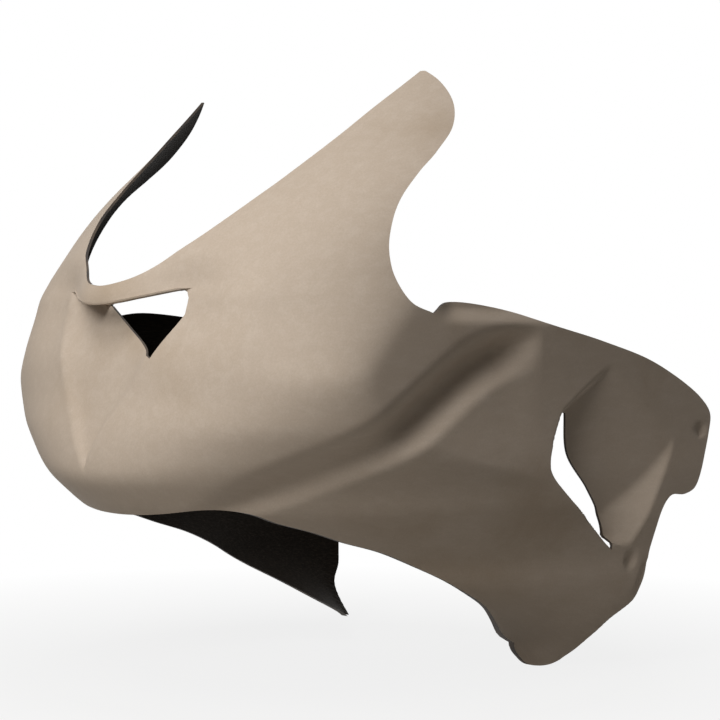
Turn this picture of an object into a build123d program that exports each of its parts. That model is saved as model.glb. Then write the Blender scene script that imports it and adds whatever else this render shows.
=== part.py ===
from build123d import *
import os
from math import cos, hypot, pi, sin, sqrt

os.makedirs("parts", exist_ok=True)

# Frame while drawing: X towards the nose, Y to the rider's left, Z up, all in mm
# The finished shell is moved at the end so that the origin is bottom centre

# Laminate
wall = 2.5

# Scooped recess in the nose, drawn from the front and from the side
recess_corner_y = 87
recess_corner_z = 50
recess_side_z = 27
recess_bridge_z = 36
recess_corner_radius = 9
recess_bottom_z = -112
recess_side = [(42, -50), (18, -84)]
recess_floor = [(350, -124), (338, -69), (318, -9), (294, 50), (288, 62)]
nose_front_x = 420

# Intake hole through the left end of the recess floor
hole_lip_y = -26
hole_lip_z = 37
hole_tip_y = 66
hole_tip_z = -9
hole_side_overlap = 3

# Vent scoops in the flanks, drawn from the side
vent_floor_slope = 0.14
vent_floor_radius = 900
vent_ramp = 12
vent_top = (-117, -17)
vent_front = [(-77, -42), (-42, -63), (-27, -91), (-21, -118), (-47, -144), (-80, -167), (-117, -195)]
ledge_foot = (-150, -202)
ledge_top = (-224, -97)
ledge_slope = 0.575

# Open slot behind the front edge of each vent
slot_inner_y = 120
slot_outer_y = 300

# Dimples that mark the four fixing points
dimple_radius = 8
dimple_floor_radius = 5.5
dimple_depth = 3
dimple_mouth = 0.3
lower_dimple = (-157, -214)
upper_dimple = (-269, -88)

# The foot on the right is cut shorter than the one on the left
right_foot_front_x = -90
right_foot_front_z = -300
right_foot_rear_x = -144
right_foot_rear_z = -309

# Level stations of the skin: height, x of the widest place, reach of the nose
# ahead of it, half width
stations = [
    (-335, -190, 100, 165),
    (-304, -200, 132, 195),
    (-273, -240, 250, 222),
    (-219, -280, 450, 236),
    (-172, -194, 469, 233),
    (-157, -110, 415, 235),
    (-130, -32, 370, 238),
    (-104, 89, 259, 240),
    (-69, 181, 162, 240),
    (-32, 213, 121, 240),
    (-8, 196, 140, 240),
    (27, 163, 170, 240),
    (50, 138, 193, 240),
    (59, 130, 195.5, 240),
    (76, 122, 189, 240),
    (96, 113, 180, 240),
    (125, 92, 175, 240),
    (150, 72, 167, 241),
    (200, -14, 204, 240),
    (241, -76, 233, 235),
    (280, -115, 245, 230),
]
skin_back_x = -312
skin_bottom_z = -333
skin_top_z = 278
skin_level_gap = 20
skin_steps = 40
skin_fine_steps = 120
nose_steps = 10
nose_margin = 30
tail_narrowing = 10
tail_narrowing_length = 500

# Soft S valley below the cheek and the ridge under it
valley_x = 225
valley_z = -100
valley_slope = 0.65
valley_depth = 19
valley_run_in = 55
ridge_z = -121
ridge_slope = 0.5
ridge_rise = 10
ridge_run_out = 110
valley_front_x = 300
valley_front_fade = 50
valley_rear_x = -5
valley_rear_fade = 60

# Soft hollow of the skin around each upper corner of the nose recess
hollow_y = 90
hollow_z = 38
hollow_half_width = 75
hollow_half_height = 45
hollow_depth = 18

# Top of the flank lobe leans inwards
lobe_crease_z = 18
lobe_lean = 8
lobe_front_x = 115
lobe_front_fade = 15
lobe_top_z = 60


def ease(share):
    """Smooth step from 0 to 1."""
    share = min(max(share, 0), 1)
    return share * share * (3 - 2 * share)


def station_at(z):
    """Widest x, reach and half width at a level, on a curve through the stations."""
    levels = [row[0] for row in stations]
    low = max(i for i in range(len(levels) - 1) if levels[i] <= z or i == 0)
    values = []
    for column in (1, 2, 3):
        def grade(i):
            if i <= 0 or i >= len(stations) - 1:
                return 0
            below = (stations[i][column] - stations[i - 1][column]) / (levels[i] - levels[i - 1])
            above = (stations[i + 1][column] - stations[i][column]) / (levels[i + 1] - levels[i])
            if below * above <= 0:
                return 0
            return 2 * below * above / (below + above)

        span = levels[low + 1] - levels[low]
        t = (z - levels[low]) / span
        start = stations[low][column]
        finish = stations[low + 1][column]
        values.append(
            start * (1 + 2 * t) * (1 - t) ** 2
            + finish * t * t * (3 - 2 * t)
            + span * grade(low) * t * (1 - t) ** 2
            - span * grade(low + 1) * t * t * (1 - t)
        )
    return values


def beyond(first, second, x, z):
    """Distance of a place to the right of the line from the first point to the second."""
    run_x = second[0] - first[0]
    run_z = second[1] - first[1]
    return ((x - first[0]) * run_z - (z - first[1]) * run_x) / hypot(run_x, run_z)


def vent_depth(x, z):
    """Depth of the vent scoop below the flank."""
    behind_flush = beyond(ledge_top, vent_top, x, z)
    above_ledge = beyond(ledge_foot, ledge_top, x, z)
    front = [vent_top] + vent_front + [ledge_foot]
    behind_edge = min(beyond(first, second, x, z) for first, second in zip(front, front[1:]))
    if min(behind_flush, above_ledge, behind_edge) <= 0:
        return 0
    floor = vent_floor_slope * behind_flush + behind_flush ** 2 / (2 * vent_floor_radius)
    return min(floor, ledge_slope * above_ledge) * ease(behind_edge / vent_ramp)


def nose_hollow(y, z):
    """How far the skin is drawn back around the upper corner of the nose recess."""
    across = ease(1 - abs(y - hollow_y) / hollow_half_width)
    return hollow_depth * across * ease(1 - abs(z - hollow_z) / hollow_half_height)


def relief(x, z):
    """How far the flank stands out or in from the plain skin."""
    valley = valley_z + valley_slope * (valley_x - x)
    ridge = ridge_z + ridge_slope * (valley_x - x)
    ends = ease((valley_front_x - x) / valley_front_fade) * ease((x - valley_rear_x) / valley_rear_fade)
    shift = -valley_depth * ease((valley + valley_run_in - z) / valley_run_in)
    shift += ridge_rise * ease((valley - z) / max(valley - ridge, 8))
    shift += (valley_depth - ridge_rise) * ease((ridge - z) / ridge_run_out)
    lean = 0
    if z < lobe_top_z:
        lean = lobe_lean * ease((z - lobe_crease_z) / lobe_crease_z) * ease((lobe_front_x - x) / lobe_front_fade)
    return shift * ends - lean - vent_depth(x, z)


def half_section(z):
    """Evenly spaced points of one side of the skin at a level, nose to tail."""
    widest_x, reach, half_width = station_at(z)
    fine = []
    for step in range(skin_fine_steps + 1):
        turn = pi / 2 * step / skin_fine_steps
        x = widest_x + reach * cos(turn)
        y = half_width * sin(turn)
        fine.append((x - nose_hollow(y, z), y + relief(x, z) * ease(step / 20)))
    for step in range(1, skin_fine_steps + 1):
        back = (widest_x - skin_back_x) * step / skin_fine_steps
        x = widest_x - back
        y = half_width - tail_narrowing * ease(back / tail_narrowing_length)
        fine.append((x, y + relief(x, z)))
    lengths = [0]
    for first, second in zip(fine, fine[1:]):
        lengths.append(lengths[-1] + hypot(second[0] - first[0], second[1] - first[1]))
    points = []
    place = 0
    for step in range(skin_steps + 1):
        target = lengths[-1] * step / skin_steps
        while place < len(fine) - 2 and lengths[place + 1] < target:
            place += 1
        share = (target - lengths[place]) / (lengths[place + 1] - lengths[place])
        first = fine[place]
        second = fine[place + 1]
        points.append((first[0] + share * (second[0] - first[0]), first[1] + share * (second[1] - first[1])))
    return points


def flank_at(x, z):
    """How far out the skin is at a place on the flank."""
    points = half_section(z)
    i = max(i for i in range(len(points) - 1) if points[i][0] >= x)
    share = (points[i][0] - x) / (points[i][0] - points[i + 1][0])
    return points[i][1] + share * (points[i + 1][1] - points[i][1])


def flank_plane(x, z):
    """Plane that lies on the flank, facing out."""
    step = 5
    rise_x = (flank_at(x + step, z) - flank_at(x - step, z)) / (2 * step)
    rise_z = (flank_at(x, z + step) - flank_at(x, z - step)) / (2 * step)
    return Plane((x, flank_at(x, z), z), x_dir=(1, rise_x, 0), z_dir=(-rise_x, 1, -rise_z))


def inset_section(z, inset):
    """The same points moved inwards so that the skin is the inset thick."""
    points = half_section(z)
    if inset == 0:
        return points
    higher = half_section(z + 2)
    lower = half_section(z - 2)
    moved = []
    for i, (x, y) in enumerate(points):
        ahead = points[i - 1] if i > 0 else (points[1][0], -points[1][1])
        behind = points[i + 1] if i < len(points) - 1 else points[i]
        run_x = behind[0] - ahead[0]
        run_y = behind[1] - ahead[1]
        length = hypot(run_x, run_y)
        out_x = run_y / length
        out_y = -run_x / length
        lean = (out_x * (higher[i][0] - lower[i][0]) + out_y * (higher[i][1] - lower[i][1])) / 4
        step = inset * sqrt(1 + min(lean * lean, 2))
        moved.append((x - out_x * step, y - out_y * step))
    return moved


def section_curve(points):
    """Smooth curve from the nose, square to the centre plane, to the tail."""
    shares = [k / (len(points) - 1) for k in range(len(points))]
    ends = [Vector(0, 1), points[-1] - points[-2]]
    return Edge.make_spline(points, tangents=ends, parameters=shares)


def half_skin():
    """Left half of the skin before its outline is cut, lofted through level sections."""
    count = round((skin_top_z - skin_bottom_z) / skin_level_gap)
    with BuildPart() as skin:
        for i in range(count + 1):
            z = skin_bottom_z + (skin_top_z - skin_bottom_z) * i / count
            outside = [Vector(x, y) for x, y in inset_section(z, 0)]
            inside = [Vector(x, y) for x, y in inset_section(z, wall)]
            with BuildSketch(Plane.XY.offset(z)):
                with BuildLine():
                    add(section_curve(outside))
                    Line(outside[-1], inside[-1])
                    add(section_curve(inside))
                    Line(inside[0], outside[0])
                make_face()
        loft()
    return skin.part


def space_before_nose():
    """Space in front of the middle of the skin around the nose recess."""
    bottom = recess_bottom_z - nose_margin
    top = recess_corner_z + nose_margin
    front_x = nose_front_x + nose_margin
    count = round((top - bottom) / skin_level_gap)
    with BuildPart() as space:
        for i in range(count + 1):
            z = bottom + (top - bottom) * i / count
            left = inset_section(z, wall / 2)[:nose_steps]
            points = [Vector(x, -y) for x, y in reversed(left[1:])] + [Vector(x, y) for x, y in left]
            shares = [k / (len(points) - 1) for k in range(len(points))]
            with BuildSketch(Plane.XY.offset(z)):
                with BuildLine():
                    add(Edge.make_spline(points, parameters=shares))
                    Polyline(points[-1], (front_x, points[-1].Y), (front_x, points[0].Y), points[0])
                make_face()
        loft()
    return space.part


def recess_tool(inset):
    """Space in front of the nose recess floor, grown by the inset."""
    corner_y = recess_corner_y + inset
    corner_z = recess_corner_z + inset
    tip = (hole_tip_y + inset, hole_tip_z - inset / 2)
    with BuildPart() as tool:
        with BuildSketch(Plane.YZ) as outline:
            with BuildLine():
                Spline(
                    (-corner_y, corner_z),
                    (0, recess_bridge_z + inset),
                    (corner_y, corner_z),
                    tangents=[(1, -0.25), (1, 0.25)],
                )
                for side in (1, -1):
                    edge = [(side * (y + inset), z - inset / 2) for y, z in recess_side]
                    Polyline((side * corner_y, corner_z), (side * corner_y, recess_side_z), (side * tip[0], tip[1]))
                    Spline(
                        [(side * tip[0], tip[1])] + edge + [(0, recess_bottom_z - 2 * inset)],
                        tangents=[(-side * 0.45, -1), (-side * 0.55, -1)],
                    )
            make_face()
            corners = outline.vertices().group_by(Axis.Y)[-1]
            fillet(corners, radius=recess_corner_radius)
        extrude(amount=nose_front_x)
        with BuildSketch(Plane.XZ):
            with BuildLine():
                floor = Spline([(x - inset, z) for x, z in recess_floor])
                foot_z = recess_floor[0][1]
                head_z = recess_floor[-1][1]
                Polyline(floor @ 1, (nose_front_x, head_z), (nose_front_x, foot_z), floor @ 0)
            make_face()
        extrude(amount=corner_y + 30, both=True, mode=Mode.INTERSECT)
    return tool.part


def side_outline():
    """Outline of the shell seen from the side, below the screen rim."""
    with BuildSketch(Plane.XZ) as outline:
        with BuildLine():
            ear = Spline(
                (76, 260),
                (70, 248),
                (71, 228),
                (86, 202),
                (115, 176),
                (141, 155),
                (162, 132),
                (176, 108),
                (182, 84),
                (178, 60),
                (164, 37),
                (140, 28),
                tangents=[(-1, -0.6), (-1, -0.3)],
            )
            lobe = Spline(
                ear @ 1,
                (126, 36),
                (108, 39),
                (40, 33),
                (-27, 19),
                (-110, 3),
                (-196, -19),
                (-272, -55),
                (-288, -72),
                (-285, -90),
                (-268, -127),
                (-257, -144),
                tangents=[(-1, 1), (0.5, -1)],
            )
            notch = Spline(lobe @ 1, (-250, -149), (-234, -153), (-212, -153), (-194, -169), (-183, -203), (-181, -231))
            joggle = Spline(notch @ 1, (-178, -244), (-173, -257), (-153, -276), (-146, -293))
            foot = Spline(joggle @ 1, (-140, -314), (-131, -327), (-120, -328), (-109, -318), (-97, -303))
            bottom = Spline(
                foot @ 1,
                (-68, -286),
                (-22, -261),
                (16, -242),
                (65, -217),
                (111, -197),
                (156, -182),
                (190, -171),
                (229, -160),
                (260, -149),
                (289, -148),
                (310, -156),
            )
            Polyline(
                bottom @ 1,
                (nose_front_x, -165),
                (nose_front_x, skin_top_z + 5),
                (ear @ 0) + Vector(0, 23),
                ear @ 0,
            )
        make_face()
    return outline.sketch


def rim_tool():
    """Screen opening seen from the front, left half."""
    with BuildPart() as tool:
        with BuildSketch(Plane.YZ):
            with BuildLine():
                rim = Spline(
                    (0, 54),
                    (30, 59),
                    (51, 70),
                    (83, 96),
                    (107, 125),
                    (124, 156),
                    (137, 189),
                    (149, 224),
                    (163, 260),
                    tangents=[(1, 0), (0.4, 1)],
                )
                Polyline(rim @ 1, (165, 300), (-50, 300), (-50, 54), rim @ 0)
            make_face()
        extrude(amount=nose_front_x)
    return tool.part


def hole_tool():
    """Intake hole seen from the front."""
    with BuildPart() as tool:
        with BuildSketch(Plane.YZ.offset(230)):
            with BuildLine():
                Polyline(
                    (hole_lip_y, hole_lip_z - 1),
                    (hole_tip_y + hole_side_overlap, hole_tip_z - hole_side_overlap),
                    (recess_corner_y + hole_side_overlap, recess_side_z),
                    (recess_corner_y + hole_side_overlap, recess_corner_z - 8),
                    (recess_corner_y - 6, recess_corner_z - 2),
                    (40, recess_bridge_z + 3),
                    (0, recess_bridge_z),
                    close=True,
                )
            make_face()
        extrude(amount=180)
    return tool.part


def slot_tool():
    """Open slot along the front edge of the left vent."""
    with BuildPart() as tool:
        with BuildSketch(Plane.XZ.offset(-slot_inner_y)):
            with BuildLine():
                front = Spline(vent_front[1:], tangents=[(0.45, -1), (-0.8, -0.6)])
                rear = Spline((-62, -66), (-72, -109), (-110, -147), (-136, -185))
                Line(front @ 0, rear @ 0)
                Line(front @ 1, rear @ 1)
            make_face()
        extrude(amount=slot_inner_y - slot_outer_y)
    return tool.part


def right_foot_tool():
    """Space below the shorter foot on the right."""
    with BuildPart() as tool:
        with BuildSketch(Plane.XZ):
            with BuildLine():
                Polyline(
                    (right_foot_front_x, right_foot_front_z),
                    (right_foot_rear_x, right_foot_rear_z),
                    (right_foot_rear_x - 20, right_foot_rear_z - 40),
                    (right_foot_front_x + 40, right_foot_rear_z - 40),
                    close=True,
                )
            make_face()
        extrude(amount=slot_outer_y)
    return tool.part


# Left half of the skin, cut to its outline, with the screen opening, the vent slot and the dimples
with BuildPart() as left_half:
    add(half_skin())
    with BuildSketch(Plane.XZ):
        add(side_outline())
    extrude(amount=-slot_outer_y, mode=Mode.INTERSECT)
    add(rim_tool(), mode=Mode.SUBTRACT)
    add(slot_tool(), mode=Mode.SUBTRACT)
    for x, z in (lower_dimple, upper_dimple):
        with Locations(flank_plane(x, z)):
            with Locations((0, 0, -dimple_depth - wall)):
                Cone(
                    bottom_radius=dimple_floor_radius + wall,
                    top_radius=dimple_radius + wall,
                    height=dimple_depth + wall / 2,
                    align=(Align.CENTER, Align.CENTER, Align.MIN),
                )
            with Locations((0, 0, -dimple_depth)):
                Cone(
                    bottom_radius=dimple_floor_radius,
                    top_radius=dimple_radius + dimple_mouth,
                    height=dimple_depth + dimple_mouth,
                    align=(Align.CENTER, Align.CENTER, Align.MIN),
                    mode=Mode.SUBTRACT,
                )

# Pan of the nose recess, a wall thick, reaching up into the skin
with BuildPart() as pan:
    add(recess_tool(wall))
    add(recess_tool(0), mode=Mode.SUBTRACT)
    add(space_before_nose(), mode=Mode.SUBTRACT)

# Both halves in one, with the recess, the hole and the shorter foot
with BuildPart() as shell:
    add(left_half.part)
    add(left_half.part.mirror(Plane.XZ))
    add(recess_tool(0), mode=Mode.SUBTRACT)
    add(pan.part)
    add(hole_tool(), mode=Mode.SUBTRACT)
    add(right_foot_tool(), mode=Mode.SUBTRACT)

box = shell.part.bounding_box()
with BuildPart() as fairing:
    with Locations((-(box.min.X + box.max.X) / 2, 0, -box.min.Z)):
        add(shell.part)

fairing.part.label = "fairing_shell"
export_step(fairing.part, "parts/fairing_shell.step")
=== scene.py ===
from math import cos, pi, radians, sin, sqrt

import bmesh
import bpy
import numpy as np
from bpy.props import FloatProperty, IntProperty, PointerProperty, StringProperty
from bpy.types import Operator, Panel, PropertyGroup
from mathutils import Matrix, Vector


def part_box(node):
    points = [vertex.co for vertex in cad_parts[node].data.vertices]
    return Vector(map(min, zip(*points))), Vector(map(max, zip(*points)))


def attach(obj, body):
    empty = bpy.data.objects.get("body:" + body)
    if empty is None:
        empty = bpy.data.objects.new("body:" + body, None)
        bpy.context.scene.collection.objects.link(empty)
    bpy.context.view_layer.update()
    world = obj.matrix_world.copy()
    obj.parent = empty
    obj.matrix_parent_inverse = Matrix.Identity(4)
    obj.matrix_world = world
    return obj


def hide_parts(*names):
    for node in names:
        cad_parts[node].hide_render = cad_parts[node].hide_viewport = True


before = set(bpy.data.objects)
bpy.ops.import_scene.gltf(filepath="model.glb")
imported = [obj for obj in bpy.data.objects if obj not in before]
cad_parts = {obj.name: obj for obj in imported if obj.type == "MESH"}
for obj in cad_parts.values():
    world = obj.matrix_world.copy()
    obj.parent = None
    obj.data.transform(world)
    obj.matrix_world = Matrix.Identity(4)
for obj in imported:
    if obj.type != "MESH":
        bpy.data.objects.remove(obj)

bl_info = {
    "name": "Motorcycle race fairing",
    "version": (1, 0, 0),
    "blender": (4, 5, 0),
    "location": "View3D > Sidebar > Fairing",
    "description": "Rebuilds a primed glass fibre race fairing and its studio",
    "category": "Object",
}

# Places are given in millimetres in the drawing frame of the fairing: X to the nose, Y to
# the rider's left, Z up, with the foremost point and the foot tip at the places below
NODE = "fairing_shell"
LOW_CORNER, HIGH_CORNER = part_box(NODE)
FOREMOST_X = 348.57
FOOT_TIP_Z = -328.6
DRAWING_ORIGIN = (HIGH_CORNER[0] * 1000 - FOREMOST_X, 0, LOW_CORNER[2] * 1000 - FOOT_TIP_Z)

# Level stations of the skin: height, x of the widest place, reach of the nose ahead of it, half width
STATIONS = [
    (-335, -190, 100, 165),
    (-304, -200, 132, 195),
    (-273, -240, 250, 222),
    (-219, -280, 450, 235.5),
    (-172, -194, 469, 237.5),
    (-157, -110, 415, 238),
    (-130, -32, 370, 239),
    (-104, 89, 259, 240),
    (-69, 181, 162, 240),
    (-32, 213, 121, 240),
    (-8, 196, 140, 240),
    (27, 163, 170, 240),
    (50, 138, 193, 240),
    (59, 130, 195.5, 240),
    (76, 122, 189, 240),
    (96, 113, 180, 240),
    (125, 92, 175, 240),
    (150, 72, 167, 241),
    (200, -14, 204, 240),
    (241, -76, 233, 235),
    (280, -115, 245, 230),
]
STATION_SPREAD = 4
WIDTH_SPREAD = 10
SKIN_BACK_X = -312
SKIN_BOTTOM_Z = -333
SKIN_TOP_Z = 278
TAIL_NARROWING = 10
TAIL_LENGTH = 500

# Soft S valley below the cheek, seen from the side: it climbs to the rear and bends level behind the bend
VALLEY_START = (225, -110)
VALLEY_SLOPE = 0.62
VALLEY_BEND_X = 100
VALLEY_BEND_RATE = 0.0025
VALLEY_DEPTH = 21
VALLEY_RUN_IN = 42
VALLEY_FRONT_X = 300
VALLEY_FRONT_LENGTH = 50
VALLEY_REAR_X = -12
VALLEY_REAR_LENGTH = 60

# Its upper side narrows to a share of its width towards the rear
NARROW_X = -10
NARROW_LENGTH = 130
NARROW_SHARE = 0.35

# Ridge under the valley, which runs out into the flank below it
RIDGE_BELOW = 32
RIDGE_RISE = 19
RIDGE_RUN_OUT = 110

# Soft hollow of the skin around each upper corner of the nose recess
HOLLOW_PLACE = (90, 48)
HOLLOW_HALF_WIDTH = 80
HOLLOW_BELOW = 90
HOLLOW_ABOVE = 42
HOLLOW_DEPTH = 21

# Top of the flank lobe leans inwards above its crease
LOBE_CREASE_Z = 18
LOBE_LEAN = 8
LOBE_FRONT_X = 140
LOBE_FRONT_LENGTH = 32
LOBE_TOP_Z = 60

# Vent scoops in the flanks
VENT_TOP = (-117, -17)
VENT_FRONT = [(-77, -42), (-42, -63), (-27, -91), (-21, -118), (-47, -144), (-80, -167), (-117, -195)]
LEDGE_FOOT = (-150, -202)
LEDGE_TOP = (-224, -97)
LEDGE_SLOPE = 0.575
VENT_FLOOR_SLOPE = 0.14
VENT_FLOOR_RADIUS = 900
LEDGE_ROUNDING = 3
SLOT_REAR = [(-62, -66), (-70, -106), (-103, -142), (-124, -170), (-129, -203)]
SLOT_REACH = (120, 300)

# Nose recess seen from the front: edge of one side as half width over height, and floor from the side
RECESS_EDGE = [(0, -114), (4, -104), (18, -81), (25, -69), (42, -49), (53, -32), (65, -8), (87, 27), (90, 62)]
RECESS_FLOOR = [(350, -124), (335, -69), (317, -9), (293, 50), (285, 70)]
RECESS_CLIMB_POWER = 4
RECESS_OUTER_SLOPE = 0.6
RECESS_WALL_SHARE = 1.06

# Bridge over the recess: its lower edge arches up to both sides, and its ceiling is cut back to a depth
BRIDGE_Z = 36
BRIDGE_ARCH = 16
BRIDGE_HALF_WIDTH = 110
BRIDGE_LIP = [(331, -24), (333, 0), (331, 22), (324, 41), (315, 55), (307, 68), (300, 80)]
BRIDGE_DEPTH = 6
BRIDGE_ROUNDING = 2.0
BENT_FROM_Z = -40
BENT_TO_Z = 90

# Intake hole seen from the front, whose upper edge follows the bridge from one end to the other
HOLE = [(-26, 37.8), (69, -12), (90, 27), (90, 42), (86, 47)]
HOLE_TOP_Y = (80, -25)
HOLE_TOP_STEP = 5

# Outlines that the shell is trimmed to, from the side and from the front
EAR = [(76, 261), (69, 248), (69, 228), (83, 202), (111, 176), (137, 155), (159, 132), (174, 108),
       (182, 84), (181, 60), (168, 38), (140, 28)]
LOBE = [(140, 28), (126, 36), (108, 39), (40, 33), (-27, 19), (-110, 3), (-196, -19), (-272, -55), (-288, -72),
        (-285, -90), (-268, -127), (-257, -144), (-250, -149), (-234, -153), (-212, -153), (-194, -169),
        (-183, -203), (-181, -231), (-178, -244), (-173, -257), (-153, -276), (-146, -293), (-140, -314),
        (-131, -327), (-120, -328), (-109, -318), (-97, -303)]
BOTTOM = [(-97, -303), (-66, -284), (-22, -257), (16, -238), (65, -214), (111, -195), (156, -182), (190, -171),
          (229, -160), (260, -149), (289, -148), (310, -156)]
RIM = [(0, 54), (30, 59), (51, 70), (83, 96), (107, 125), (124, 156), (137, 189), (149, 224), (163, 260)]
RIGHT_LOBE = [(140, 28), (126, 32), (108, 34.5), (60, 32), (10, 25.5), (-27, 18.5)]
RIGHT_FOOT = [(-90, -300), (-144, -309), (-164, -349), (-50, -349)]

# Thinned edge at the lower rear, where the lower panel of the fairing laps over it
REBATE = [(-181, -225), (-178, -244), (-173, -257), (-153, -276), (-146, -293), (-140, -314)]

# Undrilled fixing dimples on the flanks, seen from the side: the wall of each slopes over a share of its radius
DIMPLES = [(-157, -214), (-269, -88)]
DIMPLE_MOUTH = 1.04
DIMPLE_WALL_SHARE = 0.34

# Grid of the skin: even steps where the shape is fine, and longer ones elsewhere
FINE_STEP = 2.5
NOSE_END_Y = 112.5
CHEEK_COLUMNS = 54
CHEEK_SPARE = 60
FLANK_STEP = 3.0
FLANK_FRONT_X = -10
TAIL_COLUMNS_X = -240
TAIL_COLUMNS = 14
FINE_FROM_Z = -201.5
FINE_TO_Z = 60.5
LOW_ROWS = 26
HIGH_ROWS = 43
TABLE_STEP = 2.0
LEVEL_REACH = 2
RELIEF_REACH = 1.5

# The photograph's optical centre lies 15 of its 720 pixels above its middle
CAMERA_SHIFT = -15 / 720

# Material slots of the skin, and the angle in degrees above which an edge is shaded sharp
OUTSIDE, INSIDE, CUT = 0, 1, 2
SHARP_ANGLE = 34


class FairingSizes(PropertyGroup):
    wall: FloatProperty(name="Wall", description="Thickness of the laminate in mm", default=2.5, min=1, max=5)
    ridge_radius: FloatProperty(
        name="Ridge radius", description="Rounding of the edges of the nose recess in mm",
        default=2, min=1, max=12
    )
    vent_ramp: FloatProperty(
        name="Vent edge", description="Width of the rounded edge of each vent scoop in mm",
        default=8, min=3, max=20
    )
    rebate_width: FloatProperty(
        name="Rebate width", description="Width of the thinned edge at the lower rear in mm",
        default=8, min=0, max=20
    )
    rebate_depth: FloatProperty(
        name="Rebate depth", description="Step of the thinned edge at the lower rear in mm",
        default=1.4, min=0, max=3
    )
    dimple_radius: FloatProperty(
        name="Dimple radius", description="Mouth radius of a fixing dimple in mm", default=8, min=3, max=15
    )
    dimple_depth: FloatProperty(
        name="Dimple depth", description="Depth of a fixing dimple in mm", default=3, min=0.5, max=6
    )
    waviness: FloatProperty(
        name="Laminate waviness", description="Unevenness of the hand-laid inside in metres", default=0.0005,
        min=0, max=0.002, subtype="DISTANCE", unit="LENGTH"
    )
    wave_size: FloatProperty(
        name="Wave size", description="Size of the unevenness of the inside in metres", default=0.05,
        min=0.01, max=0.2, subtype="DISTANCE", unit="LENGTH"
    )
    seed: IntProperty(name="Seed", description="Seed of the laminate's unevenness", default=7, min=0)


class FairingColours(PropertyGroup):
    primer: StringProperty(name="Primer", description="sRGB hex colour of the primer", default="B9A998")
    primer_dust: StringProperty(
        name="Dust", description="sRGB hex colour of sanded, dusty primer", default="C0B1A1"
    )
    primer_stain: StringProperty(
        name="Stain", description="sRGB hex colour of thin, handled primer", default="AA9884"
    )
    laminate: StringProperty(
        name="Laminate", description="sRGB hex colour of the bare inside", default="1A1612"
    )
    laminate_strand: StringProperty(
        name="Strands", description="sRGB hex colour of glass strands", default="2C251E"
    )
    cut: StringProperty(name="Cut edge", description="sRGB hex colour of the trimmed edge", default="2E2620")
    cut_dust: StringProperty(
        name="Edge dust", description="sRGB hex colour of dust on the trimmed edge", default="54473A"
    )


class FairingStudio(PropertyGroup):
    azimuth: FloatProperty(
        name="Azimuth", description="Camera direction from the left side towards the front",
        default=radians(44), subtype="ANGLE", unit="ROTATION"
    )
    distance: FloatProperty(
        name="Distance", description="Camera distance from the fairing", default=1.957,
        subtype="DISTANCE", unit="LENGTH"
    )
    lens: FloatProperty(
        name="Lens", description="Focal length in mm on a 36 mm sensor", default=95, min=20, max=200
    )
    floor: StringProperty(name="Floor", description="sRGB hex colour of the floor", default="A5A39F")
    light_azimuth: FloatProperty(
        name="Light azimuth", description="Direction of both softboxes from the left side towards the front",
        default=radians(72), subtype="ANGLE", unit="ROTATION"
    )
    light_distance: FloatProperty(
        name="Light distance", description="Distance of both softboxes", default=2,
        subtype="DISTANCE", unit="LENGTH"
    )
    light_size: FloatProperty(
        name="Light size", description="Side of each square softbox", default=0.8,
        subtype="DISTANCE", unit="LENGTH"
    )
    upper_height: FloatProperty(
        name="Upper light height", description="Height angle of the upper softbox", default=radians(52),
        subtype="ANGLE", unit="ROTATION"
    )
    upper_power: FloatProperty(
        name="Upper light", description="Power of the upper softbox in watts", default=14.5
    )
    level_height: FloatProperty(
        name="Level light height", description="Height angle of the lower softbox", default=radians(26),
        subtype="ANGLE", unit="ROTATION"
    )
    level_power: FloatProperty(
        name="Level light", description="Power of the lower softbox in watts", default=21.5
    )
    world_level: FloatProperty(
        name="Room light", description="Strength of the even room light", default=0.035
    )


def ease(share):
    """Smooth step from 0 to 1."""
    share = np.clip(share, 0, 1)
    return share * share * (3 - 2 * share)


def stations_curve():
    """Levels with widest x, reach and half width on a smooth curve that doesn't swing past the stations."""
    table = np.array(STATIONS, float)
    steps = np.diff(table[:, 0])
    levels = np.arange(table[0, 0] - 60, table[-1, 0] + 60.5, 0.5)
    held = np.clip(levels, table[0, 0], table[-1, 0])
    k = np.clip(np.searchsorted(table[:, 0], held) - 1, 0, len(steps) - 1)
    t = (held - table[k, 0]) / steps[k]
    columns = [levels]
    for column, spread in ((1, STATION_SPREAD), (2, STATION_SPREAD), (3, WIDTH_SPREAD)):
        slopes = np.diff(table[:, column]) / steps
        both = slopes[:-1] * slopes[1:]
        inner = np.where(both > 0, 2 * both / np.where(both > 0, slopes[:-1] + slopes[1:], 1), 0)
        grades = np.concatenate([slopes[:1], inner, slopes[-1:]])
        values = (
            (1 + 2 * t) * (1 - t) ** 2 * table[k, column] + t * t * (3 - 2 * t) * table[k + 1, column]
            + steps[k] * t * (1 - t) * ((1 - t) * grades[k] - t * grades[k + 1])
        )
        reach = int(3 * spread / 0.5)
        weights = np.exp(-0.5 * (np.arange(-reach, reach + 1) * 0.5 / spread) ** 2)
        padded = np.pad(values, reach, mode="reflect", reflect_type="odd")
        columns.append(np.convolve(padded, weights / weights.sum(), mode="valid"))
    return np.array(columns)


def station_at(z):
    """Widest x, reach and half width at a level."""
    return [np.interp(z, STATION_CURVE[0], STATION_CURVE[k]) for k in (1, 2, 3)]


def beyond(first, second, x, z):
    """Distance of places to the right of the line from the first point to the second."""
    run = np.subtract(second, first)
    return ((x - first[0]) * run[1] - (z - first[1]) * run[0]) / np.hypot(*run)


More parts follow.
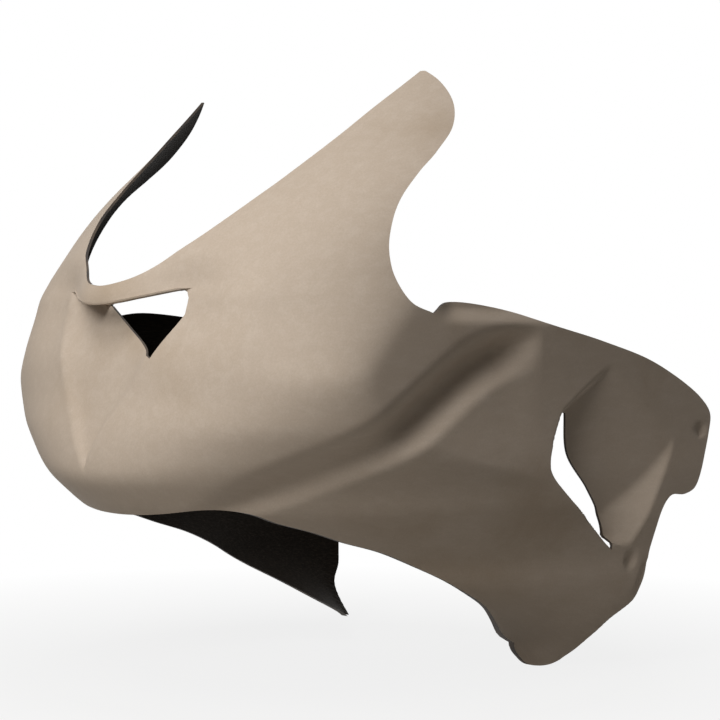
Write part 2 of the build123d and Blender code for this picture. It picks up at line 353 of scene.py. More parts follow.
def vent_depth(x, z, ramp):
    """Depth of the vent scoop below the flank."""
    behind_flush = beyond(LEDGE_TOP, VENT_TOP, x, z)
    above_ledge = beyond(LEDGE_FOOT, LEDGE_TOP, x, z)
    front = [VENT_TOP] + VENT_FRONT + [LEDGE_FOOT]
    behind_edge = beyond(front[0], front[1], x, z)
    for first, second in zip(front[1:], front[2:]):
        behind_edge = np.minimum(behind_edge, beyond(first, second, x, z))
    flush = np.maximum(behind_flush, 0)
    floor = VENT_FLOOR_SLOPE * flush + flush ** 2 / (2 * VENT_FLOOR_RADIUS)
    ledge = LEDGE_SLOPE * np.maximum(above_ledge, 0)
    return np.maximum(smooth_min(floor, ledge, LEDGE_ROUNDING), 0) * ease(behind_edge / ramp)


def smooth_min(first, second, radius):
    """The smaller of two values, rounded where they cross."""
    near = np.clip((radius - np.abs(first - second)) / radius, 0, 1)
    return np.minimum(first, second) - near * near * radius / 4


def distance_to_line(points, x, z):
    """Distance of places to a run of straight lines."""
    nearest = np.full(np.shape(x), 1e9)
    for (x1, z1), (x2, z2) in zip(points, points[1:]):
        run_x, run_z = x2 - x1, z2 - z1
        share = np.clip(((x - x1) * run_x + (z - z1) * run_z) / (run_x ** 2 + run_z ** 2), 0, 1)
        nearest = np.minimum(nearest, np.hypot(x - x1 - share * run_x, z - z1 - share * run_z))
    return nearest


def dimple_dip(x, z, sizes):
    """Depth of the fixing dimples below the flank."""
    dip = np.zeros(np.shape(x))
    for place_x, place_z in DIMPLES:
        out = np.hypot(x - place_x, z - place_z) / sizes.dimple_radius
        dip = np.maximum(dip, sizes.dimple_depth * ease((DIMPLE_MOUTH - out) / DIMPLE_WALL_SHARE))
    return dip


def relief(x, z, sizes):
    """How far the flank stands out or in from the plain skin."""
    valley = VALLEY_START[1] + VALLEY_SLOPE * (VALLEY_START[0] - x)
    valley = valley - VALLEY_BEND_RATE * np.maximum(VALLEY_BEND_X - x, 0) ** 2
    ridge = valley - RIDGE_BELOW
    ends = ease((VALLEY_FRONT_X - x) / VALLEY_FRONT_LENGTH) * ease((x - VALLEY_REAR_X) / VALLEY_REAR_LENGTH)
    wide = ease((x - NARROW_X) / NARROW_LENGTH)
    run_in = VALLEY_RUN_IN * (NARROW_SHARE + (1 - NARROW_SHARE) * wide)
    shift = -VALLEY_DEPTH * ease((valley + run_in - z) / run_in)
    shift = shift + RIDGE_RISE * ease((valley - z) / RIDGE_BELOW)
    shift = shift + (VALLEY_DEPTH - RIDGE_RISE) * ease((ridge - z) / RIDGE_RUN_OUT)
    behind_lobe_front = ease((LOBE_FRONT_X - x) / LOBE_FRONT_LENGTH)
    lean = LOBE_LEAN * ease((z - LOBE_CREASE_Z) / LOBE_CREASE_Z) * behind_lobe_front
    lean = np.where(z < LOBE_TOP_Z, lean, 0)
    rebate = sizes.rebate_depth * ease((sizes.rebate_width - distance_to_line(REBATE, x, z)) / 2)
    return shift * ends - lean - vent_depth(x, z, sizes.vent_ramp) - rebate - dimple_dip(x, z, sizes)


def plain_section(z, count):
    """Fine points of one side of the plain skin at a level, nose to tail."""
    widest_x, reach, half_width = station_at(z)
    turn = np.linspace(0, pi / 2, count)
    back = np.linspace(0, widest_x - SKIN_BACK_X, count)[1:]
    x = np.concatenate([widest_x + reach * np.cos(turn), widest_x - back])
    y = np.concatenate([half_width * np.sin(turn), half_width - TAIL_NARROWING * ease(back / TAIL_LENGTH)])
    across = ease(1 - np.abs(y - HOLLOW_PLACE[0]) / HOLLOW_HALF_WIDTH)
    above = max(z - HOLLOW_PLACE[1], 0) / HOLLOW_ABOVE
    below = max(HOLLOW_PLACE[1] - z, 0) / HOLLOW_BELOW
    down = ease(1 - above) * ease(1 - below)
    hollow = HOLLOW_DEPTH * across * down
    hollow[count:] = 0
    return x, y, hollow


def section(z, inset, sizes, count=500):
    """Fine points of one side of the finished skin at a level, moved inwards by the inset."""
    x, y, hollow = plain_section(z, count)
    # The relief fades in over the first sixth of the nose
    start = ease(np.concatenate([np.linspace(0, 6, count), np.full(count - 1, 6)]))
    outer_x, outer_y = x - hollow, y
    if inset:
        higher = plain_section(z + LEVEL_REACH, count)
        lower = plain_section(z - LEVEL_REACH, count)
        run_x, run_y = np.gradient(outer_x), np.gradient(outer_y)
        length = np.hypot(run_x, run_y)
        out_x, out_y = run_y / length, -run_x / length
        rise_x = higher[0] - higher[2] - lower[0] + lower[2]
        lean = (out_x * rise_x + out_y * (higher[1] - lower[1])) / (2 * LEVEL_REACH)
        step = inset * np.sqrt(1 + np.minimum(lean * lean, 2))
        outer_x, outer_y = outer_x - out_x * step, outer_y - out_y * step
    level = np.full(len(x), float(z))
    shift = relief(x, level, sizes)
    if inset:
        reach = RELIEF_REACH
        grade_x = (relief(x + reach, level, sizes) - relief(x - reach, level, sizes)) / (2 * reach)
        grade_z = (relief(x, level + reach, sizes) - relief(x, level - reach, sizes)) / (2 * reach)
        grade = np.minimum(grade_x ** 2 + grade_z ** 2, 3)
        shift = shift - inset * (np.sqrt(1 + grade) - 1)
    return outer_x, outer_y + shift * start


def column_places(x, y, nose_y, flank_x):
    """Grid columns of one level: even steps across the nose, round the cheek and back along the flank."""
    lengths = np.concatenate([[0], np.cumsum(np.hypot(np.diff(x), np.diff(y)))])
    rising = y[: int(np.argmax(y > nose_y[-1])) + 1]
    nose_at = np.interp(nose_y, rising, lengths[: len(rising)])
    nose_end_x = np.interp(nose_at[-1], lengths, x)
    flank_start = min(flank_x[0], nose_end_x - CHEEK_SPARE)
    stretch = (SKIN_BACK_X - flank_start) / (SKIN_BACK_X - flank_x[0])
    wanted = SKIN_BACK_X + (flank_x - SKIN_BACK_X) * stretch
    wanted[-1] = x[-1]
    flank_at = np.interp(-wanted, -np.minimum.accumulate(x), lengths)
    cheek_at = np.linspace(nose_at[-1], flank_at[0], CHEEK_COLUMNS + 2)[1:-1]
    places = np.concatenate([nose_at, cheek_at, flank_at])
    return np.interp(places, lengths, x), np.interp(places, lengths, y)


def skin_grid(inset, sizes):
    """Points of the left half of the skin, rows from the bottom up and columns from nose to tail."""
    nose_y = np.arange(0, NOSE_END_Y, FINE_STEP)
    flank_x = np.concatenate([
        np.arange(FLANK_FRONT_X, TAIL_COLUMNS_X, -FLANK_STEP),
        np.linspace(TAIL_COLUMNS_X, SKIN_BACK_X, TAIL_COLUMNS),
    ])
    levels = np.arange(SKIN_BOTTOM_Z - 1, SKIN_TOP_Z + 40, TABLE_STEP)
    table_x, table_y = [], []
    for level in levels:
        x, y = column_places(*section(level, inset, sizes), nose_y, flank_x)
        table_x.append(x)
        table_y.append(y)
    table_x, table_y = np.array(table_x), np.array(table_y)

    low_rows = np.linspace(SKIN_BOTTOM_Z, FINE_FROM_Z - FINE_STEP, LOW_ROWS)
    fine_rows = np.arange(FINE_FROM_Z, FINE_TO_Z, FINE_STEP)
    rows = np.concatenate([low_rows, fine_rows, np.linspace(FINE_TO_Z + 3, SKIN_TOP_Z, HIGH_ROWS)])
    across = np.full(table_x.shape[1], nose_y[-1])
    across[: len(nose_y)] = nose_y
    arch = BRIDGE_ARCH * ease(across / BRIDGE_HALF_WIDTH)
    # Rows near the bridge bend with its lower edge, less and less above and below it
    from_below = ease((rows - BENT_FROM_Z) / (BRIDGE_Z - BENT_FROM_Z))
    from_above = ease((BENT_TO_Z - rows) / (BENT_TO_Z - BRIDGE_Z))
    near_bridge = np.where(rows < BRIDGE_Z, from_below, from_above)
    height = rows[:, None] + near_bridge[:, None] * (arch[None, :] + inset)

    grid = np.zeros(height.shape + (3,))
    for column in range(height.shape[1]):
        grid[:, column, 0] = np.interp(height[:, column], levels, table_x[:, column])
        grid[:, column, 1] = np.interp(height[:, column], levels, table_y[:, column])
    grid[:, :, 2] = height
    return grid, rows


def between(first, second, low, high, t):
    """Point between two others, by how far t lies between two knots."""
    return (high - t) / (high - low) * first + (t - low) / (high - low) * second


def curve_through(points, steps=10):
    """Even points on a smooth curve through the given ones."""
    points = [np.array(p, float) for p in points]
    padded = [2 * points[0] - points[1]] + points + [2 * points[-1] - points[-2]]
    curve = []
    for before, start, end, after in zip(padded, padded[1:], padded[2:], padded[3:]):
        knots = [0]
        for first, second in ((before, start), (start, end), (end, after)):
            knots.append(knots[-1] + sqrt(np.linalg.norm(second - first)))
        for t in np.linspace(knots[1], knots[2], steps, endpoint=False):
            runs = ((before, start), (start, end), (end, after))
            low = [between(a, b, knots[k], knots[k + 1], t) for k, (a, b) in enumerate(runs)]
            middle = [between(low[k], low[k + 1], knots[k], knots[k + 2], t) for k in (0, 1)]
            curve.append(between(middle[0], middle[1], knots[1], knots[2], t))
    return [tuple(p) for p in curve] + [tuple(points[-1])]


def recess_floor(y, z, skin_x, inset):
    """Floor of the nose recess at each place, and how it climbs to the ridges at its sides."""
    floor_curve = np.array(curve_through(RECESS_FLOOR))
    edge_curve = np.array(curve_through(RECESS_EDGE))
    middle = np.interp(z, floor_curve[:, 1], floor_curve[:, 0]) - inset * RECESS_WALL_SHARE
    half_width = np.maximum(np.interp(z, edge_curve[:, 1], edge_curve[:, 0]), 1)
    out = np.abs(y) / half_width
    edge_x = np.take_along_axis(skin_x, np.argmin(np.abs(y - half_width), axis=1)[:, None], axis=1)
    climb = np.maximum(edge_x - middle, 0) * np.minimum(out, 1) ** RECESS_CLIMB_POWER
    return middle + climb + np.maximum(out - 1, 0) * half_width * RECESS_OUTER_SLOPE


def with_recess(grid, rows, inset, radius):
    """The grid with the nose recess scooped out under its bridge.

    Rows are added for the ceiling: a rounding at its back, the ceiling itself and a rounding at its lip."""
    bridge_row = int(np.argmin(np.abs(rows - BRIDGE_Z)))
    nose = grid[:, :, 1] < BRIDGE_HALF_WIDTH + 1
    skin_x = grid[:, :, 0]
    floor_x = recess_floor(grid[:, :, 1], grid[:, :, 2], skin_x, inset)
    scooped = np.where(nose, smooth_min(skin_x, floor_x, radius), skin_x)
    lower = grid[: bridge_row + 1].copy()
    lower[:, :, 0] = scooped[: bridge_row + 1]
    lip = grid[bridge_row]
    depth = lip[:, 0] - lower[bridge_row, :, 0]
    fillet = np.minimum(BRIDGE_ROUNDING, depth / 3)
    back = lower[bridge_row].copy()
    lower[bridge_row, :, 2] -= fillet
    extra = []
    for forward, down in ((0.3, 0.3), (1, 0)):
        row = back.copy()
        row[:, 0] += forward * fillet
        row[:, 2] -= down * fillet
        extra.append(row)
    for share in (0.33, 0.66):
        row = back.copy()
        row[:, 0] += fillet + share * (depth - 2 * fillet)
        extra.append(row)
    for short, up in ((1, 0), (0.3, 0.3), (0, 1)):
        row = lip.copy()
        row[:, 0] -= short * fillet
        row[:, 2] += up * fillet
        extra.append(row)
    return np.concatenate([lower, np.array(extra), grid[bridge_row + 1:]])


def mesh_from(name, points, faces, slots, materials):
    """A mesh object from points in drawing millimetres."""
    mesh = bpy.data.meshes.new(name)
    metres = (np.array(points, float) + np.array(DRAWING_ORIGIN)) / 1000
    mesh.from_pydata(metres.tolist(), [], faces)
    for material in materials:
        mesh.materials.append(material)
    mesh.polygons.foreach_set("material_index", slots)
    piece = bpy.data.objects.new(name, mesh)
    bpy.context.scene.collection.objects.link(piece)
    return piece


def both_sides(half):
    """A half grid with its mirror image, columns from the right tail round the nose to the left tail."""
    mirrored = half[:, :0:-1].copy()
    mirrored[:, :, 1] *= -1
    return np.concatenate([mirrored, half], axis=1)


def untrimmed_skin(sizes, materials):
    """Closed skin with its inside, before its outlines are cut."""
    layers = []
    for inset in (0, sizes.wall):
        grid, rows = skin_grid(inset, sizes)
        layers.append(both_sides(with_recess(grid, rows, inset, sizes.ridge_radius)))
    height, width = layers[0].shape[:2]
    points = np.concatenate([layer.reshape(-1, 3) for layer in layers])
    index = np.arange(2 * height * width).reshape(2, height, width)

    def quads(a, b, c, d):
        return np.stack([a, b, c, d], axis=-1).reshape(-1, 4)

    outer, inner = index
    out_faces = quads(outer[:-1, :-1], outer[:-1, 1:], outer[1:, 1:], outer[1:, :-1])
    in_faces = quads(inner[:-1, :-1], inner[1:, :-1], inner[1:, 1:], inner[:-1, 1:])
    edges = [
        quads(outer[0, :-1], inner[0, :-1], inner[0, 1:], outer[0, 1:]),
        quads(outer[-1, :-1], outer[-1, 1:], inner[-1, 1:], inner[-1, :-1]),
        quads(outer[:-1, 0], outer[1:, 0], inner[1:, 0], inner[:-1, 0]),
        quads(outer[:-1, -1], inner[:-1, -1], inner[1:, -1], outer[1:, -1]),
    ]
    faces = np.concatenate([out_faces, in_faces] + edges)
    slots = np.full(len(faces), CUT)
    slots[: len(out_faces)] = OUTSIDE
    slots[len(out_faces): len(out_faces) + len(in_faces)] = INSIDE
    piece = mesh_from("fairing_skin", points, faces.tolist(), slots.tolist(), materials)
    tidy = bmesh.new()
    tidy.from_mesh(piece.data)
    bmesh.ops.remove_doubles(tidy, verts=tidy.verts, dist=0.00002)
    bmesh.ops.dissolve_degenerate(tidy, edges=tidy.edges, dist=0.00001)
    tidy.to_mesh(piece.data)
    tidy.free()
    return piece


def prism(name, outline, along, low, high, materials):
    """Closed cutter: an outline drawn across one axis and drawn out along it."""
    if signed_area(outline) < 0:
        outline = outline[::-1]
    count = len(outline)
    points = []
    for place in (low, high):
        for a, b in outline:
            points.append({"X": (place, a, b), "Y": (a, place, b), "Z": (a, b, place)}[along])
    sides = [[k, (k + 1) % count, (k + 1) % count + count, k + count] for k in range(count)]
    faces = [list(range(count))[::-1], list(range(count, 2 * count))] + sides
    if along == "Y":
        faces = [face[::-1] for face in faces]
    return mesh_from(name, points, faces, [CUT] * len(faces), materials)


def signed_area(outline):
    """Area of an outline, above zero where it runs anticlockwise."""
    return sum(a[0] * b[1] - b[0] * a[1] for a, b in zip(outline, outline[1:] + outline[:1])) / 2


def cut_with(piece, cutter, operation):
    """Cuts the piece with a closed cutter, which is then removed."""
    modifier = piece.modifiers.new("cut", "BOOLEAN")
    modifier.solver = "MANIFOLD"
    modifier.operation = operation
    modifier.object = cutter
    bpy.context.view_layer.update()
    evaluated = piece.evaluated_get(bpy.context.evaluated_depsgraph_get())
    mesh = bpy.data.meshes.new_from_object(evaluated)
    piece.modifiers.remove(modifier)
    old = piece.data
    piece.data = mesh
    bpy.data.meshes.remove(old)
    bpy.data.objects.remove(cutter)
    if len(mesh.polygons) == 0:
        raise RuntimeError("nothing was left of the fairing after a cut")


def trimmed(piece, materials):
    """Trims the skin to its outlines and opens the screen opening, the slots and the intake hole.

    The corners that close each outline lie well clear of the skin."""
    side = curve_through(EAR)[:-1] + curve_through(LOBE)[:-1] + curve_through(BOTTOM)
    side += [(420, -165), (420, 283), (76, 283)]
    cut_with(piece, prism("side_cutter", side, "Y", -300, 300, materials), "INTERSECT")
    rim = curve_through([(-y, z) for y, z in RIM[:0:-1]] + RIM)
    rim += [(165, 300), (-165, 300)]
    cut_with(piece, prism("rim_cutter", rim, "X", 0, 420, materials), "DIFFERENCE")
    slot = curve_through(VENT_FRONT[1:]) + curve_through(SLOT_REAR)[::-1]
    for side_sign in (1, -1):
        low, high = sorted((side_sign * SLOT_REACH[0], side_sign * SLOT_REACH[1]))
        cut_with(piece, prism("slot_cutter", slot, "Y", low, high, materials), "DIFFERENCE")
    hole_top = []
    for y in range(*HOLE_TOP_Y, -HOLE_TOP_STEP):
        arch = BRIDGE_ARCH * float(ease(abs(y) / BRIDGE_HALF_WIDTH))
        hole_top.append((y, BRIDGE_Z + max(arch - 0.3, 0.3)))
    cut_with(piece, prism("hole_cutter", HOLE + hole_top, "X", 230, 410, materials), "DIFFERENCE")
    ceiling = [(x - BRIDGE_DEPTH, y) for x, y in BRIDGE_LIP]
    ceiling += [(270, BRIDGE_LIP[-1][1]), (270, BRIDGE_LIP[0][1])]
    cut_with(piece, prism("ceiling_cutter", ceiling, "Z", BRIDGE_Z, BRIDGE_Z + 20, materials), "DIFFERENCE")
    lobe = curve_through(RIGHT_LOBE) + [(-27, 60), (140, 60)]
    cut_with(piece, prism("lobe_cutter", lobe, "Y", -SLOT_REACH[1], -SLOT_REACH[0], materials), "DIFFERENCE")
    cut_with(piece, prism("foot_cutter", RIGHT_FOOT, "Y", -SLOT_REACH[1], 0, materials), "DIFFERENCE")


def keep_in_box(piece):
    """Holds the skin inside the box of the solid, which it can pass by a fraction of a millimetre."""
    flat = np.zeros(len(piece.data.vertices) * 3)
    piece.data.vertices.foreach_get("co", flat)
    places = flat.reshape(-1, 3)
    places = np.clip(places, np.array(LOW_CORNER), np.array(HIGH_CORNER))
    piece.data.vertices.foreach_set("co", places.ravel())
    piece.data.update()


def linear(hex_colour):
    """An sRGB hex colour as the linear one that a shader takes."""
    values = []
    for k in (0, 2, 4):
        value = int(hex_colour[k:k + 2], 16) / 255
        values.append(value / 12.92 if value <= 0.04045 else ((value + 0.055) / 1.055) ** 2.4)
    return (*values, 1)


def add_node(tree, kind, settings=None, **links):
    """Adds a node, sets its fields and sockets, and links the sockets that are given an output."""
    node = tree.nodes.new(kind)
    for key, value in (settings or {}).items():
        setattr(node, key, value)
    for key, value in links.items():
        socket = node.inputs[int(key[1:])] if key[1:].isdigit() else node.inputs[key.replace("_", " ")]
        if isinstance(value, bpy.types.NodeSocket):
            tree.links.new(value, socket)
        else:
            socket.default_value = value
    return node


def new_material(name):
    """An empty node material with its surface shader."""
    material = bpy.data.materials.new(name)
    material.use_nodes = True
    tree = material.node_tree
    tree.nodes.clear()
    shader = add_node(tree, "ShaderNodeBsdfPrincipled")
    add_node(tree, "ShaderNodeOutputMaterial", Surface=shader.outputs["BSDF"])
    place = add_node(tree, "ShaderNodeTexCoord").outputs["Object"]
    return material, tree, shader, place


def per_metre(millimetres):
    """Texture scale for a pattern that repeats at a size in millimetres."""
    return 1000 / millimetres


def primer_material(colours):
    """Sprayed filler primer over glass fibre, dry and matt, rubbed down by hand.

    It looks like fine chalk: an even warm beige with faint clouds where it was sprayed thicker,
    a grain of overspray, and soft sanding marks that catch side light."""
    material, tree, shader, place = new_material("matt filler primer")
    clouds = add_node(
        tree, "ShaderNodeTexNoise", Vector=place, Scale=per_metre(140), Detail=4.0, Roughness=0.55
    )
    grain = add_node(
        tree, "ShaderNodeTexNoise", Vector=place, Scale=per_metre(1.6), Detail=3.0, Roughness=0.6
    )
    stretched = add_node(tree, "ShaderNodeMapping", Vector=place, Scale=(0.3, 1.0, 1.0))
    marks = add_node(
        tree, "ShaderNodeTexNoise", Vector=stretched.outputs[0], Scale=per_metre(9), Detail=6.0, Roughness=0.7
    )
    stain = add_node(tree, "ShaderNodeMapRange", Value=clouds.outputs["Fac"], From_Min=0.52, From_Max=0.78)
    dust = add_node(tree, "ShaderNodeMapRange", Value=marks.outputs["Fac"], From_Min=0.45, From_Max=0.75)
    dusty = add_node(
        tree, "ShaderNodeMix", {"data_type": "RGBA"},
        _0=dust.outputs[0], _6=linear(colours.primer), _7=linear(colours.primer_dust)
    )
    tinted = add_node(
        tree, "ShaderNodeMix", {"data_type": "RGBA"},
        _0=stain.outputs[0], _6=dusty.outputs[2], _7=linear(colours.primer_stain)
    )
    speck = add_node(
        tree, "ShaderNodeMapRange", Value=grain.outputs["Fac"],
        From_Min=0.3, From_Max=0.7, To_Min=0.95, To_Max=1.04
    )
    colour = add_node(
        tree, "ShaderNodeVectorMath", {"operation": "SCALE"}, _0=tinted.outputs[2], Scale=speck.outputs[0]
    )
    rough = add_node(
        tree, "ShaderNodeMapRange", Value=marks.outputs["Fac"],
        From_Min=0.3, From_Max=0.7, To_Min=0.5, To_Max=0.66
    )
    waves = add_node(tree, "ShaderNodeTexNoise", Vector=place, Scale=per_metre(45), Detail=2.0)
    soft = add_node(tree, "ShaderNodeBump", Height=waves.outputs["Fac"], Strength=1.0, Distance=0.0003)
    fine = add_node(
        tree, "ShaderNodeBump", Height=grain.outputs["Fac"],
        Strength=0.6, Distance=0.00006, Normal=soft.outputs[0]
    )
    shader.inputs["Specular IOR Level"].default_value = 0.08
    tree.links.new(colour.outputs[0], shader.inputs["Base Color"])
    tree.links.new(rough.outputs[0], shader.inputs["Roughness"])
    tree.links.new(fine.outputs[0], shader.inputs["Normal"])
    return material


def laminate_material(colours):
    """Bare inside of a hand-laid laminate: near-black resin over chopped strand mat.

    The resin is dull, and the strands show as short crossing ridges, a little lighter than it."""
    material, tree, shader, place = new_material("dark chopped strand laminate")
    heights = []
    for angle in (25, 85, 145):
        turned = add_node(
            tree, "ShaderNodeMapping", Vector=place,
            Rotation=(radians(angle), radians(angle / 2), radians(angle)), Scale=(1.0, 9.0, 9.0)
        )
        strands = add_node(
            tree, "ShaderNodeTexNoise", Vector=turned.outputs[0], Scale=per_metre(14), Detail=2.0, Roughness=0.5
        )
        heights.append(strands.outputs["Fac"])
    crossed = heights[0]
    for height in heights[1:]:
        crossed = add_node(tree, "ShaderNodeMath", {"operation": "MAXIMUM"}, _0=crossed, _1=height).outputs[0]
    show = add_node(tree, "ShaderNodeMapRange", Value=crossed, From_Min=0.55, From_Max=0.78)
    colour = add_node(
        tree, "ShaderNodeMix", {"data_type": "RGBA"},
        _0=show.outputs[0], _6=linear(colours.laminate), _7=linear(colours.laminate_strand)
    )
    rough = add_node(
        tree, "ShaderNodeMapRange", Value=crossed, From_Min=0.45, From_Max=0.8, To_Min=0.68, To_Max=0.5
    )
    bump = add_node(tree, "ShaderNodeBump", Height=crossed, Strength=0.8, Distance=0.0004)
    shader.inputs["Specular IOR Level"].default_value = 0.015
    tree.links.new(colour.outputs[2], shader.inputs["Base Color"])
    tree.links.new(rough.outputs[0], shader.inputs["Roughness"])
    tree.links.new(bump.outputs[0], shader.inputs["Normal"])
    return material


def cut_edge_material(colours):
    """Edge of the laminate after trimming: dark sanded resin with glass ends, and sanding dust on it."""
    material, tree, shader, place = new_material("sanded laminate edge")
    fibres = add_node(
        tree, "ShaderNodeTexNoise", Vector=place, Scale=per_metre(1.2), Detail=4.0, Roughness=0.7
    )
    patches = add_node(tree, "ShaderNodeTexNoise", Vector=place, Scale=per_metre(25), Detail=3.0)
    dusty = add_node(tree, "ShaderNodeMapRange", Value=patches.outputs["Fac"], From_Min=0.4, From_Max=0.65)
    shade = add_node(
        tree, "ShaderNodeMix", {"data_type": "RGBA"},
        _0=dusty.outputs[0], _6=linear(colours.cut), _7=linear(colours.cut_dust)
    )
    speck = add_node(
        tree, "ShaderNodeMapRange", Value=fibres.outputs["Fac"],
        From_Min=0.3, From_Max=0.7, To_Min=0.8, To_Max=1.1
    )
    colour = add_node(
        tree, "ShaderNodeVectorMath", {"operation": "SCALE"}, _0=shade.outputs[2], Scale=speck.outputs[0]
    )
    bump = add_node(tree, "ShaderNodeBump", Height=fibres.outputs["Fac"], Strength=0.8, Distance=0.0002)
    shader.inputs["Roughness"].default_value = 0.7
    tree.links.new(colour.outputs[0], shader.inputs["Base Color"])
    tree.links.new(bump.outputs[0], shader.inputs["Normal"])
    return material


def wavy_inside_tree(materials):
    """Geometry Nodes that move the inside of the laminate by a few tenths of a millimetre."""
    tree = bpy.data.node_groups.new("hand-laid inside", "GeometryNodeTree")
    tree.interface.new_socket("Geometry", in_out="INPUT", socket_type="NodeSocketGeometry")
    inputs = {}
    for label, kind in (("Amount", "NodeSocketFloat"), ("Size", "NodeSocketFloat"), ("Seed", "NodeSocketInt")):
        inputs[label] = tree.interface.new_socket(label, in_out="INPUT", socket_type=kind).identifier
    tree.interface.new_socket("Geometry", in_out="OUTPUT", socket_type="NodeSocketGeometry")
    given = tree.nodes.new("NodeGroupInput")
    result = tree.nodes.new("NodeGroupOutput")
    inverse = add_node(tree, "ShaderNodeMath", {"operation": "DIVIDE"}, _0=1.0, _1=given.outputs["Size"])
    waves = add_node(
        tree, "ShaderNodeTexNoise", {"noise_dimensions": "4D"},
        W=given.outputs["Seed"], Scale=inverse.outputs[0], Detail=2.0
    )
    swing = add_node(tree, "ShaderNodeMath", {"operation": "SUBTRACT"}, _0=waves.outputs["Fac"], _1=0.5)
    amount = add_node(
        tree, "ShaderNodeMath", {"operation": "MULTIPLY"}, _0=swing.outputs[0], _1=given.outputs["Amount"]
    )
    normal = tree.nodes.new("GeometryNodeInputNormal")
    offset = add_node(
        tree, "ShaderNodeVectorMath", {"operation": "SCALE"}, _0=normal.outputs[0], Scale=amount.outputs[0]
    )
    slot = tree.nodes.new("GeometryNodeInputMaterialIndex")
    inside = add_node(
        tree, "FunctionNodeCompare", {"data_type": "INT", "operation": "EQUAL"}, _2=slot.outputs[0], _3=INSIDE
    )
    moved = add_node(
        tree, "GeometryNodeSetPosition",
        Geometry=given.outputs["Geometry"], Selection=inside.outputs[0], Offset=offset.outputs[0]
    )
    real = add_node(tree, "GeometryNodeRealizeInstances", Geometry=moved.outputs[0])
    painted = add_node(
        tree, "GeometryNodeSetMaterial",
        Geometry=real.outputs[0], Selection=inside.outputs[0], Material=materials[INSIDE]
    )
    tree.links.new(painted.outputs[0], result.inputs[0])
    return tree, inputs


def lay_by_hand(piece, materials, sizes):
    """Applies the Geometry Nodes that make the inside a little uneven."""
    tree, inputs = wavy_inside_tree(materials)
    modifier = piece.modifiers.new("hand-laid inside", "NODES")
    modifier.node_group = tree
    modifier[inputs["Amount"]] = sizes.waviness
    modifier[inputs["Size"]] = sizes.wave_size
    modifier[inputs["Seed"]] = sizes.seed
    bpy.context.view_layer.update()
    evaluated = piece.evaluated_get(bpy.context.evaluated_depsgraph_get())
    mesh = bpy.data.meshes.new_from_object(evaluated)
    piece.modifiers.remove(modifier)
    old = piece.data
    piece.data = mesh
    bpy.data.meshes.remove(old)


class FAIRING_OT_shell(Operator):
    """Builds the one-piece laminate shell of the fairing"""

    bl_idname = "fairing.shell"
    bl_label = "Fairing shell"

    def execute(self, context):
        sizes = context.scene.fairing_sizes
        colours = context.scene.fairing_colours
        materials = [primer_material(colours), laminate_material(colours), cut_edge_material(colours)]
        piece = untrimmed_skin(sizes, materials)
        trimmed(piece, materials)
        lay_by_hand(piece, materials, sizes)
        keep_in_box(piece)
        piece.data.shade_smooth()
        piece.data.set_sharp_from_angle(angle=radians(SHARP_ANGLE))
        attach(piece, "root")
        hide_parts(NODE)
        return {"FINISHED"}


class FAIRING_OT_stage(Operator):
    """Makes the floor, the soft lights and the camera at the photograph's angle"""

    bl_idname = "fairing.stage"
    bl_label = "Studio"

    def execute(self, context):
        scene = context.scene
        studio = scene.fairing_studio
        scene.view_settings.view_transform = "Standard"
        middle = Vector((DRAWING_ORIGIN[0] / 1000, 0, DRAWING_ORIGIN[2] / 1000))
        away = Vector((sin(studio.azimuth), cos(studio.azimuth), 0))
        camera = bpy.data.objects.new("camera", bpy.data.cameras.new("camera"))
        camera.data.lens = studio.lens
        camera.data.sensor_width = 36
        camera.data.shift_y = CAMERA_SHIFT
        camera.data.clip_end = 50
        aim(camera, middle + away * studio.distance, middle)
        scene.collection.objects.link(camera)
        scene.camera = camera

        for name, height, power in (
            ("upper softbox", studio.upper_height, studio.upper_power),
            ("level softbox", studio.level_height, studio.level_power),
        ):
            lamp = bpy.data.lights.new(name, "AREA")
            lamp.size = studio.light_size
            lamp.energy = power
            light = bpy.data.objects.new(name, lamp)
            turn = studio.light_azimuth
            out = Vector((sin(turn) * cos(height), cos(turn) * cos(height), sin(height)))
            aim(light, middle + out * studio.light_distance, middle)
            scene.collection.objects.link(light)

        world = bpy.data.worlds.new("studio room")
        world.use_nodes = True
        tree = world.node_tree
        tree.nodes.clear()
        seen = white_where_seen(tree)
        level = add_node(tree, "ShaderNodeMapRange", Value=seen, To_Min=studio.world_level, To_Max=1.0)
        room = add_node(tree, "ShaderNodeBackground", Color=(1, 1, 1, 1), Strength=level.outputs[0])
        add_node(tree, "ShaderNodeOutputWorld", Surface=room.outputs[0])
        scene.world = world

        bpy.ops.mesh.primitive_plane_add(size=8, location=(0, 0, 0))
        floor = context.object
        floor.name = "floor"
        floor.data.materials.append(floor_material(studio))
        return {"FINISHED"}


def aim(thing, place, target):
    """Puts a camera or a light at a place and turns it to a target, upright."""
    back = (place - target).normalized()
    side = Vector((0, 0, 1)).cross(back).normalized()
    up = back.cross(side)
    thing.matrix_world = Matrix((
        (side[0], up[0], back[0], place[0]),
        (side[1], up[1], back[1], place[1]),
        (side[2], up[2], back[2], place[2]),
        (0, 0, 0, 1),
    ))


def white_where_seen(tree):
    """1 for the rays that show the background, directly or in gloss, and 0 for those that light."""
    path = tree.nodes.new("ShaderNodeLightPath")
    gloss = add_node(tree, "ShaderNodeMath", {"operation": "MAXIMUM"}, _0=path.outputs["Is Camera Ray"],
                     _1=path.outputs["Is Glossy Ray"])
    both = add_node(tree, "ShaderNodeMath", {"operation": "MAXIMUM"}, _0=gloss.outputs[0],
                    _1=path.outputs["Is Transmission Ray"])
    return both.outputs[0]


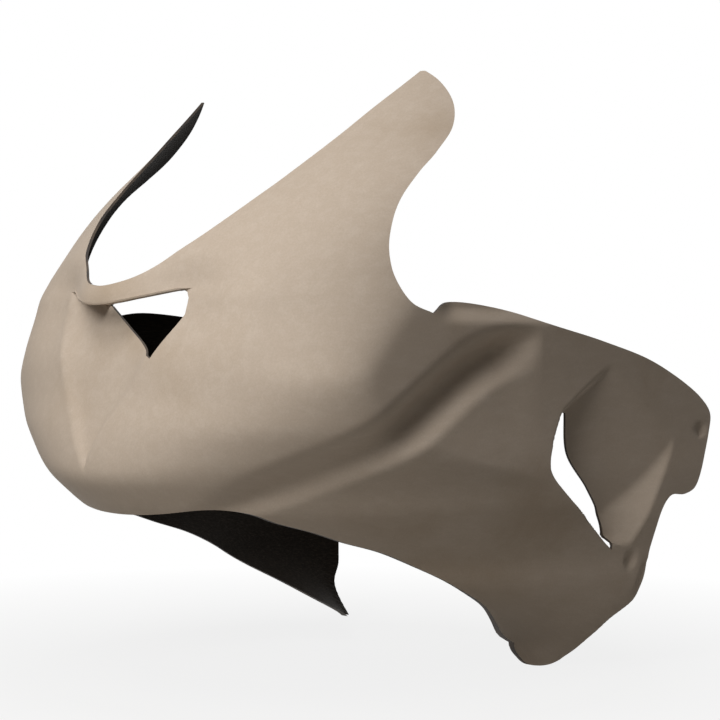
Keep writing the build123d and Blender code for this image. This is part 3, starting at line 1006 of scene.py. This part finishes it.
def floor_material(studio):
    """Pale studio floor that fades into the white room away from the object."""
    material, tree, shader, place = new_material("pale studio floor")
    grain = add_node(tree, "ShaderNodeTexNoise", Vector=place, Scale=per_metre(2), Detail=2.0)
    speck = add_node(tree, "ShaderNodeMapRange", Value=grain.outputs["Fac"], To_Min=0.97, To_Max=1.0)
    colour = add_node(
        tree, "ShaderNodeVectorMath", {"operation": "SCALE"},
        _0=linear(studio.floor)[:3], Scale=speck.outputs[0]
    )
    tree.links.new(colour.outputs[0], shader.inputs["Base Color"])
    shader.inputs["Roughness"].default_value = 0.9
    far = add_node(tree, "ShaderNodeVectorMath", {"operation": "LENGTH"}, _0=place)
    fade = add_node(
        tree, "ShaderNodeMapRange", Value=far.outputs["Value"], From_Min=0.3, From_Max=0.9, To_Min=0.84
    )
    seen = white_where_seen(tree)
    share = add_node(tree, "ShaderNodeMath", {"operation": "MULTIPLY"}, _0=fade.outputs[0], _1=seen)
    glow = add_node(tree, "ShaderNodeEmission", Color=(1, 1, 1, 1), Strength=1.0)
    mixed = add_node(
        tree, "ShaderNodeMixShader", _0=share.outputs[0], _1=shader.outputs[0], _2=glow.outputs[0]
    )
    output = next(node for node in tree.nodes if node.type == "OUTPUT_MATERIAL")
    tree.links.new(mixed.outputs[0], output.inputs["Surface"])
    return material


class FAIRING_PT_panel(Panel):
    """Sizes, colours and buttons of the fairing"""

    bl_idname = "FAIRING_PT_panel"
    bl_label = "Race fairing"
    bl_space_type = "VIEW_3D"
    bl_region_type = "UI"
    bl_category = "Fairing"

    def draw(self, context):
        layout = self.layout
        scene = context.scene
        for group in (scene.fairing_sizes, scene.fairing_colours, scene.fairing_studio):
            box = layout.box()
            for name in group.__annotations__:
                box.prop(group, name)
        for operator in (FAIRING_OT_shell, FAIRING_OT_stage):
            layout.operator(operator.bl_idname)


STATION_CURVE = stations_curve()
CLASSES = (
    FairingSizes, FairingColours, FairingStudio, FAIRING_OT_shell, FAIRING_OT_stage, FAIRING_PT_panel
)


def register():
    for entry in CLASSES:
        bpy.utils.register_class(entry)
    bpy.types.Scene.fairing_sizes = PointerProperty(type=FairingSizes)
    bpy.types.Scene.fairing_colours = PointerProperty(type=FairingColours)
    bpy.types.Scene.fairing_studio = PointerProperty(type=FairingStudio)


def unregister():
    del bpy.types.Scene.fairing_studio
    del bpy.types.Scene.fairing_colours
    del bpy.types.Scene.fairing_sizes
    for entry in reversed(CLASSES):
        bpy.utils.unregister_class(entry)


def main():
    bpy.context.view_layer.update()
    register()
    bpy.ops.fairing.shell()
    bpy.ops.fairing.stage()


if __name__ == "__main__":
    main()
